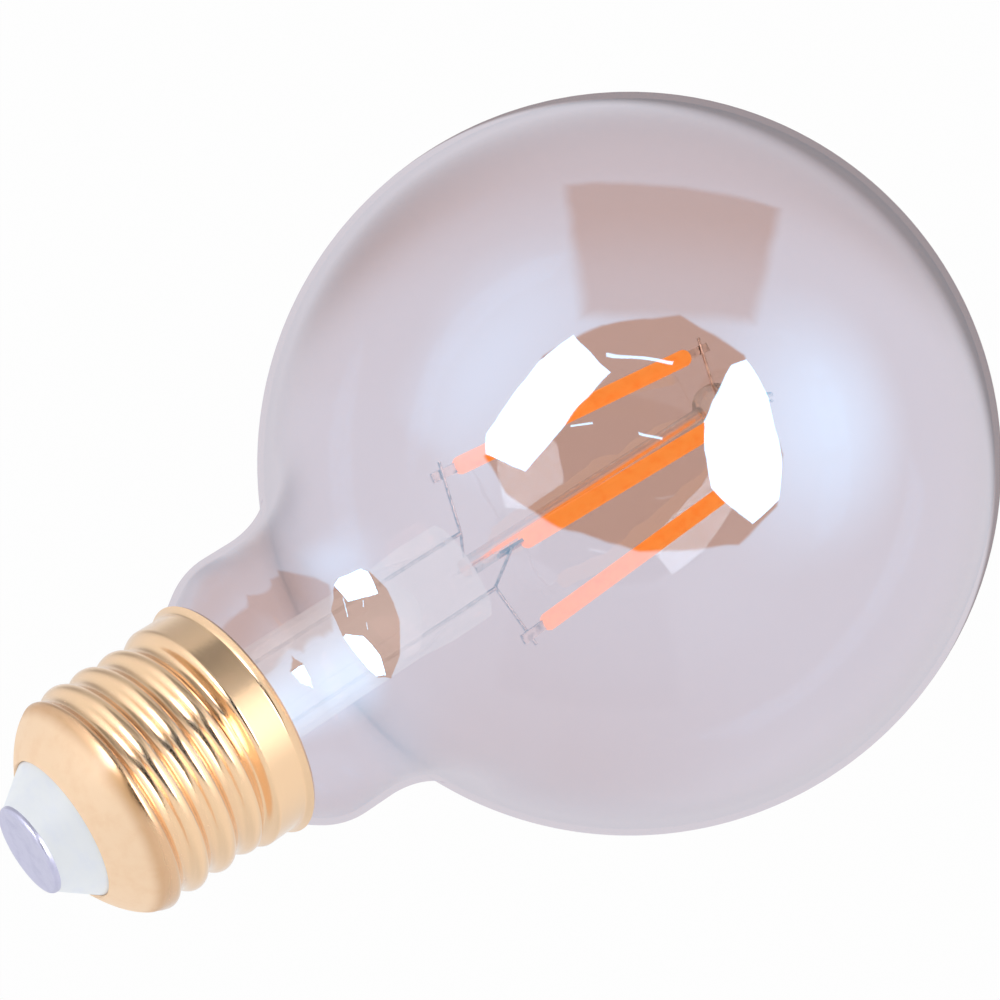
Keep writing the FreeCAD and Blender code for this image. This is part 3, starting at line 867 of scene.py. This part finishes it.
@dataclass
class FilamentCage:
    """Four coated filaments on their wires, sizes in millimetres."""

    count: int = 4
    radius: float = 1.15
    length: float = 40.5
    end_fillet: float = 0.95
    first_angle: float = -6.0
    start_height: float = -68.5
    shifts: tuple[float, ...] = (0.0, -1.5, 0.0, 2.0)
    turns: tuple[float, ...] = (0.0, 5.5, 0.0, 0.0)
    base_rings: tuple[float, ...] = (11.2, 8.3, 11.2, 8.3)
    crown_ring: float = 9.0
    crown_offset: float = 1.2
    rows: int = 40
    sides: int = 32

    def rod(self, index: int) -> bmesh.types.BMesh:
        """Return one coated rod in its place."""
        angle = self.first_angle + 360 / self.count * index
        height = self.start_height + self.shifts[index]
        start = around(self.base_rings[index], angle + self.turns[index], height)
        aim = around(self.crown_ring, angle, height - self.length)
        aim.x -= self.crown_offset
        flat = self.radius - self.end_fillet
        straight = self.length - 2 * self.end_fillet
        line = Outline(0.0, 0.0).line_to(flat, 0.0).arc((flat, self.end_fillet), 90.0, FILLET_ROWS)
        for row in range(1, self.rows + 1):
            line.line_to(self.radius, self.end_fillet + straight * row / self.rows)
        line.arc((flat, self.length - self.end_fillet), 90.0, FILLET_ROWS).line_to(0.0, self.length)
        mesh = line.turned(self.sides)
        turn = Vector((0, 0, 1)).rotation_difference(aim - start).to_matrix().to_4x4()
        bmesh.ops.transform(mesh, matrix=Matrix.Translation(start * MM) @ turn, verts=mesh.verts[:])
        return mesh

    def build(self, shop: Shop) -> None:
        """Make the filaments and dress their tabs and wires."""
        for index in range(self.count):
            node = f"filament_{index + 1}"
            mesh = self.rod(index)
            shop.piece(f"coated_{node}", mesh, (Paint.FILAMENT,), (node,))
            shop.dress(Paint.NICKEL, f"{node}_base_tab", f"{node}_crown_tab")
        for wire in ("lead_wire", "feed_wire", "bridge_wire"):
            shop.dress(Paint.NICKEL, f"{wire}_a", f"{wire}_b")


@dataclass
class ScrewCap:
    """Rolled gold shell, white insulator and contact, sizes in millimetres."""

    wall: float = 0.3
    rim_height: float = -27.0
    rim_radius: float = 14.45
    lip: float = 0.9
    collar_radius: float = 13.6
    collar_length: float = 4.3
    crest: float = 13.1
    root: float = 12.05
    pitch: float = 3.629
    phase: float = -0.55
    run_in: float = 1.2
    run_out: float = 1.8
    run_out_shift: float = 0.5
    shoulder_radius: float = 12.9
    shoulder_height: float = -9.0
    bulge: float = 0.76
    end_radius: float = 8.3
    end_height: float = -4.5
    rows_per_pitch: int = 26
    sides: int = 180
    contact_radius: float = 5.25
    contact_height: float = 0.6
    contact_fillet: float = 0.4
    contact_dish: tuple[Point, ...] = ((-0.5, -0.03), (-1.2, -0.08))
    contact_middle: float = -0.1
    insulator_floor: float = -8.0
    insulator_hole: float = 0.8
    seat_clearance: float = 0.05
    seat_drop: float = 0.3
    seat_rows: int = 7
    edge_gap: Point = (0.04, 0.03)
    turned_sides: int = 128
    contact_rows: int = 10

    def plain_radius(self, height: float) -> float:
        """Return the radius of the shell without its thread."""
        thread = self.rim_height + self.collar_length
        if height <= thread:
            flare = max(1 - (height - self.rim_height) / self.lip, 0.0)
            return self.collar_radius + (self.rim_radius - self.collar_radius) * flare**2
        share = (height - self.shoulder_height) / (self.end_height - self.shoulder_height)
        if share > 0:
            straight = self.shoulder_radius + (self.end_radius - self.shoulder_radius) * share
            return straight + 4 * self.bulge * share * (1 - share)
        along = (height - thread) / (self.shoulder_height - thread)
        return self.collar_radius + (self.shoulder_radius - self.collar_radius) * along

    def thread_depth(self, height: float) -> float:
        """Return how far the thread is worked in at a height, from 0 to 1."""
        thread = self.rim_height + self.collar_length
        shares = (
            (height - thread) / self.run_in,
            (self.shoulder_height - height) / self.run_out + self.run_out_shift,
        )
        depth = 1.0
        for share in shares:
            bounded = min(max(share, 0.0), 1.0)
            depth *= bounded * bounded * (3 - 2 * bounded)
        return depth

    def thread_radius(self, height: float, turns: float) -> float:
        """Return the radius of the round thread at a height and a share of a turn."""
        depth = self.crest - self.root
        arc = (self.pitch**2 / 16 + depth**2 / 4) / depth
        phase = (height - self.phase) / self.pitch - turns
        offset = abs(phase - round(phase)) * self.pitch
        if offset < self.pitch / 4:
            return self.crest - arc + math.sqrt(arc**2 - offset**2)
        return self.root + arc - math.sqrt(arc**2 - (self.pitch / 2 - offset) ** 2)

    def shell_mesh(self) -> bmesh.types.BMesh:
        """Return the shell: a turned blank whose wall is then rolled to the thread."""
        line = Outline(self.rim_radius, self.rim_height)
        rows = round((self.end_height - self.rim_height) / self.pitch * self.rows_per_pitch)
        for row in range(1, rows + 1):
            height = self.rim_height + (self.end_height - self.rim_height) * row / rows
            line.line_to(self.plain_radius(height), height)
        mesh = line.turned(self.sides)
        for vert in mesh.verts:
            height = vert.co.z / MM
            depth = self.thread_depth(height)
            turns = math.atan2(vert.co.y, vert.co.x) / (2 * math.pi)
            plain = self.plain_radius(height)
            rolled = plain * (1 - depth) + self.thread_radius(height, turns) * depth
            vert.co.xy *= rolled / plain
        bmesh.ops.solidify(mesh, geom=mesh.faces[:], thickness=self.wall * MM)
        return mesh

    def insulator_mesh(self) -> bmesh.types.BMesh:
        """Return the insulator, from its hole over the white cone to its floor."""
        top = -self.contact_height
        line = Outline(self.insulator_hole, self.insulator_floor).line_to(self.insulator_hole, top)
        line.line_to(self.contact_radius, top)
        line.line_to(self.end_radius - self.edge_gap[0], self.end_height + self.edge_gap[1])
        seat = self.end_height - self.seat_drop
        for row in range(self.seat_rows + 1):
            height = seat + (self.insulator_floor - seat) * row / self.seat_rows
            line.line_to(self.plain_radius(height) - 2 * self.wall - self.seat_clearance, height)
        line.line_to(self.insulator_hole, self.insulator_floor)
        return line.turned(self.turned_sides)

    def contact_mesh(self) -> bmesh.types.BMesh:
        """Return the contact disc with its rounded edge and a faint dish."""
        flat = self.contact_radius - self.contact_fillet
        line = Outline(0.0, -self.contact_height).line_to(self.contact_radius, -self.contact_height)
        line.line_to(self.contact_radius, -self.contact_fillet)
        line.arc((flat, -self.contact_fillet), 90.0, self.contact_rows)
        for inset, height in self.contact_dish:
            line.line_to(flat + inset, height)
        return line.line_to(0.0, self.contact_middle).turned(self.turned_sides)

    def build(self, shop: Shop) -> None:
        """Make the shell, the insulator and the contact."""
        shell, insulator, contact = self.shell_mesh(), self.insulator_mesh(), self.contact_mesh()
        white = (Paint.INSULATOR,)
        shop.piece("gold_shell", shell, (Paint.GOLD,), ("screw_shell",))
        shop.piece("white_insulator", insulator, white, ("insulator",))
        shop.piece("contact_disc", contact, (Paint.CONTACT,), ("centre_contact",))


@dataclass
class DriverPack:
    """The driver in the cap, shown by the frame's own nodes."""

    def build(self, shop: Shop) -> None:
        """Dress the nodes inside the cap."""
        shop.dress(Paint.CEMENT, "cement")
        shop.dress(Paint.BOARD, "driver_board")
        shop.dress(Paint.PACKAGE, "rectifier", "driver_chip")
        shop.dress(Paint.CAN, "capacitor")
        shop.dress(Paint.RESISTOR, "fuse_resistor")
        shop.dress(Paint.COPPER, "live_wire", "neutral_wire")


@dataclass(frozen=True)
class Panel:
    """A convex panel of the room."""

    corners: tuple[Point, ...]
    soft: float


@dataclass(frozen=True)
class Glow:
    """A round glow of the room, or a shade where its gain is negative."""

    pixel: Point
    reach: float
    gain: float


@dataclass
class Studio:
    """Floor, room and camera, lengths in metres.

    The room is a flat map round the camera. Its panels and glows are placed by the pixels where the
    globe mirrors them: corners run clockwise, and widths and reaches are lengths on the map.
    """

    right: Triple = (-0.5367, -0.4646, -0.7042)
    up: Triple = (0.8437, -0.2956, -0.4480)
    back: Triple = (0.0, -0.8347, 0.5507)
    eye: Triple = (0.0026, -0.2123, 0.0580)
    near_clip: float = 0.01
    lens_mm: float = 71.93
    sensor_mm: float = 36.0
    shift: Point = (-0.0653, -0.0202)
    floor_height: float = -0.42
    floor_radius: float = 3.0
    floor_sides: int = 96
    floor_colour: Colour = (0.9, 0.9, 0.9)
    floor_glow: float = 0.94
    globe: Triple = (0.0, 0.0, -0.0915)
    globe_radius: float = 0.0475
    picture: float = 1000.0
    map_guard: float = 1.001
    opening: Panel = Panel(
        (
            (485, 455), (542, 355), (600, 325), (680, 314), (745, 356), (783, 455),
            (778, 505), (738, 545), (640, 552), (560, 528), (505, 492),
        ),
        0.006,
    )
    opening_level: float = 0.03
    soft_boxes: tuple[Panel, ...] = (
        Panel(((487, 434), (538, 361), (574, 335), (610, 373), (526, 471), (487, 452)), 0.004),
        Panel(
            (
                (703, 421), (732, 367), (747, 361), (768, 399), (782, 460),
                (779, 498), (751, 524), (712, 487), (705, 450),
            ),
            0.004,
        ),
    )
    box_level: float = 1.5
    box_mirrored: float = 6.0
    glints: tuple[Panel, ...] = (
        Panel(((608, 354), (674, 361), (673, 364), (608, 357)), 0.002),
        Panel(((571, 425), (592, 423), (592, 425), (571, 427)), 0.002),
        Panel(((639, 432), (662, 436), (662, 438), (639, 434)), 0.002),
    )
    glint_level: float = 3.0
    card: Panel = Panel(((566, 186), (778, 208), (752, 322), (583, 316)), 0.03)
    card_level: float = 0.31
    card_rise: float = 0.3
    card_span: Point = (0.4, 0.85)
    glows: tuple[Glow, ...] = (
        Glow((825, 420), 0.5, 0.8),
        Glow((520, 330), 0.42, 0.4),
        Glow((455, 410), 0.35, 0.3),
        Glow((560, 760), 1.1, -0.16),
        Glow((370, 250), 1.3, -0.18),
    )
    far_drop: float = 0.16
    far_span: Point = (0.9, 2.6)
    top_drop: float = 0.32
    top_span: Point = (0.5, 1.2)
    top_end: Point = (1.4, 2.8)
    corner_drop: float = 0.6
    corner_span: Point = (1.8, 2.6)
    diagonal: float = 0.7071
    max_bounces: int = 8
    transmission_bounces: int = 6
    diffuse_bounces: int = 2
    glossy_bounces: int = 3
    transparent_bounces: int = 20

    def room_point(self, pixel: Point) -> Point:
        """Return where in the room the globe mirrors a pixel, as a flat map round the camera."""
        right, up, back = Vector(self.right), Vector(self.up), Vector(self.back)
        across = (pixel[0] / self.picture - 0.5 + self.shift[0]) * self.sensor_mm / self.lens_mm
        rise = (0.5 - pixel[1] / self.picture + self.shift[1]) * self.sensor_mm / self.lens_mm
        sight = (right * across + up * rise - back).normalized()
        offset = Vector(self.eye) - Vector(self.globe)
        along = sight.dot(offset)
        reach = -along - math.sqrt(along**2 - offset.length_squared + self.globe_radius**2)
        mirrored = sight.reflect((offset + sight * reach).normalized())
        depth = 1 + mirrored.dot(back)
        return mirrored.dot(right) / depth, mirrored.dot(up) / depth

    def panel(self, place: tuple[Shade, Shade], panel: Panel) -> Shade:
        """Return a mask of a panel at two map coordinates: 1 inside and 0 outside."""
        points = [self.room_point(corner) for corner in panel.corners]
        gaps = []
        for start, end in zip(points, points[1:] + points[:1]):
            length = math.hypot(end[0] - start[0], end[1] - start[1])
            across = (end[1] - start[1]) / length
            along = -(end[0] - start[0]) / length
            offset = across * start[0] + along * start[1]
            gaps.append(across * place[0] + along * place[1] - offset)
        return reduce(Shade.least, gaps).ease(-panel.soft, panel.soft)

    def panels(self, place: tuple[Shade, Shade], panels: Sequence[Panel]) -> Shade:
        """Return a mask of several panels."""
        return reduce(Shade.most, [self.panel(place, panel) for panel in panels])

    def glow(self, place: tuple[Shade, Shade], glow: Glow) -> Shade:
        """Return the light of a glow: its gain in the middle, falling to 0 at its reach."""
        middle = self.room_point(glow.pixel)
        across = place[0] - middle[0]
        along = place[1] - middle[1]
        away = (across * across + along * along) ** 0.5
        return glow.gain * (1 - away.ease(0.0, glow.reach))

    def walls(self, place: tuple[Shade, Shade]) -> Shade:
        """Return the level of the room's walls, without what hangs on them."""
        away = (place[0] * place[0] + place[1] * place[1]) ** 0.5
        level = 1.0 - self.far_drop * away.ease(*self.far_span)
        top = place[1].ease(*self.top_span) * (1 - away.ease(*self.top_end))
        level = level - self.top_drop * top
        for glow in self.glows:
            level = level + self.glow(place, glow)
        return level

    def room(self) -> None:
        """Light the room: plain white where the camera sees it, and its map in mirrors."""
        world = bpy.data.worlds.new("room")
        bpy.context.scene.world = world
        world.use_nodes = True
        world.cycles.sampling_method = "NONE"
        bench = Bench(world.node_tree)
        look = bench.node("ShaderNodeTexCoord", {}, {}, "Generated")
        parts = []
        for axis in (self.right, self.up, self.back):
            settings = {"operation": "DOT_PRODUCT"}
            parts.append(bench.node("ShaderNodeVectorMath", settings, {0: look, 1: axis}, "Value"))
        scale = self.map_guard + parts[2]
        place = (parts[0] / scale, parts[1] / scale)
        card = self.panel(place, self.card)
        shelf = self.card_level + self.card_rise * (1 - place[1].ease(*self.card_span))
        level = self.walls(place) * (1 - card) + shelf * card
        corner = ((place[0] + place[1]) * self.diagonal).ease(*self.corner_span)
        level = level * (1 - self.corner_drop * corner)
        opening = self.panel(place, self.opening)
        level = level * (1 - opening) + self.opening_level * opening
        mirrored = bench.node("ShaderNodeLightPath", {}, {}, "Is Glossy Ray")
        box_light = self.box_level + self.box_mirrored * mirrored
        level = level + box_light * self.panels(place, self.soft_boxes)
        level = level + self.glint_level * self.panels(place, self.glints)
        seen = bench.seen()
        strength = level * (1 - seen) + seen
        light = bench.node("ShaderNodeBackground", {}, {"Color": WHITE, "Strength": strength})
        bench.node("ShaderNodeOutputWorld", {}, {"Surface": light})

    def floor(self) -> None:
        """Lay the pale floor under the hanging bulb."""
        mesh = bmesh.new()
        sides, radius = self.floor_sides, self.floor_radius
        bmesh.ops.create_circle(mesh, cap_ends=True, segments=sides, radius=radius)
        bmesh.ops.translate(mesh, vec=(0, 0, self.floor_height), verts=mesh.verts[:])
        data = bpy.data.meshes.new("floor")
        mesh.to_mesh(data)
        mesh.free()
        material = bpy.data.materials.new("pale_floor")
        material.use_nodes = True
        material.cycles.emission_sampling = "NONE"
        bench = Bench(material.node_tree)
        matt = bench.node("ShaderNodeBsdfDiffuse", {}, {"Color": opaque(self.floor_colour)})
        pale = bench.node("ShaderNodeEmission", {}, {"Color": WHITE, "Strength": 1.0})
        surface = bench.mixed(bench.seen() * self.floor_glow, matt, pale)
        bench.node("ShaderNodeOutputMaterial", {}, {"Surface": surface})
        data.materials.append(material)
        floor = bpy.data.objects.new("floor", data)
        bpy.context.scene.collection.objects.link(floor)
        floor.visible_glossy = False

    def camera(self) -> None:
        """Stand the camera where the photograph was taken."""
        data = bpy.data.cameras.new("camera")
        data.sensor_width = self.sensor_mm
        data.lens = self.lens_mm
        data.shift_x, data.shift_y = self.shift
        data.clip_start = self.near_clip
        turn = Matrix((self.right, self.up, self.back)).transposed().to_4x4()
        eye = bpy.data.objects.new("camera", data)
        eye.matrix_world = Matrix.Translation(self.eye) @ turn
        bpy.context.scene.collection.objects.link(eye)
        bpy.context.scene.camera = eye

    def build(self) -> None:
        """Set up the room, the floor, the camera and the view."""
        scene = bpy.context.scene
        scene.view_settings.view_transform = "Standard"
        scene.cycles.max_bounces = self.max_bounces
        scene.cycles.transmission_bounces = self.transmission_bounces
        scene.cycles.diffuse_bounces = self.diffuse_bounces
        scene.cycles.glossy_bounces = self.glossy_bounces
        scene.cycles.transparent_max_bounces = self.transparent_bounces
        self.room()
        self.floor()
        self.camera()


def main() -> None:
    """Build the bulb and its studio, and note the sizes."""
    logging.basicConfig(level=logging.INFO, format="%(message)s")
    shop = Shop(Wardrobe())
    for part in (GlassEnvelope(), StemMount(), FilamentCage(), ScrewCap(), DriverPack()):
        part.build(shop)
    Studio().build()


if __name__ == "__main__":
    main()
